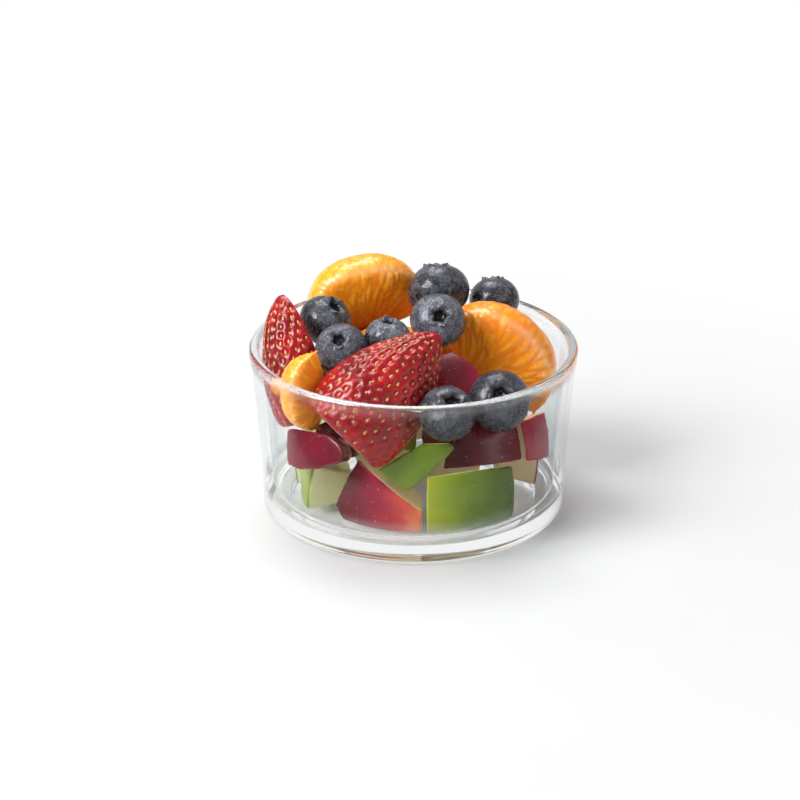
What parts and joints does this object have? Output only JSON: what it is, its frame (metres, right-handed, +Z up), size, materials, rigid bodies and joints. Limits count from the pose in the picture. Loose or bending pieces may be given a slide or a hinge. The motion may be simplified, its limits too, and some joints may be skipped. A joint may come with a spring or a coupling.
{
  "type": "fruit cup",
  "caption": "Low clear glass cup with a thick floor, heaped with strawberry halves, mandarin segments, blueberries and chunks of red and green apple.",
  "frame": {"origin": "centre of the glass's foot, on the surface that it stands on", "axes": "+Z up; -Y towards the side that the picture shows, +X to its right"},
  "size_m": [0.095, 0.095, 0.0674],
  "materials": {
    "glass": "clear, polished",
    "strawberry": "wet",
    "mandarin": "wet",
    "blueberry": "dusty bloom",
    "red_apple": "wet",
    "green_apple": "wet"
  },
  "bodies": {
    "root": {"glass_cup": "glass", "blueberry_1": "blueberry", "blueberry_2": "blueberry", "blueberry_3": "blueberry", "blueberry_4": "blueberry", "blueberry_5": "blueberry", "blueberry_6": "blueberry", "blueberry_7": "blueberry", "blueberry_8": "blueberry", "blueberry_9": "blueberry", "blueberry_10": "blueberry", "blueberry_11": "blueberry", "strawberry_1": "strawberry", "strawberry_2": "strawberry", "strawberry_3": "strawberry", "mandarin_1": "mandarin", "mandarin_2": "mandarin", "mandarin_3": "mandarin", "mandarin_4": "mandarin", "mandarin_5": "mandarin", "red_apple_1": "red_apple", "red_apple_2": "red_apple", "red_apple_3": "red_apple", "red_apple_4": "red_apple", "red_apple_5": "red_apple", "red_apple_6": "red_apple", "red_apple_7": "red_apple", "red_apple_8": "red_apple", "red_apple_9": "red_apple", "green_apple_1": "green_apple", "green_apple_2": "green_apple", "green_apple_3": "green_apple", "green_apple_4": "green_apple", "green_apple_5": "green_apple", "green_apple_6": "green_apple", "green_apple_7": "green_apple", "green_apple_8": "green_apple", "green_apple_9": "green_apple"}
  },
  "joints": []
}
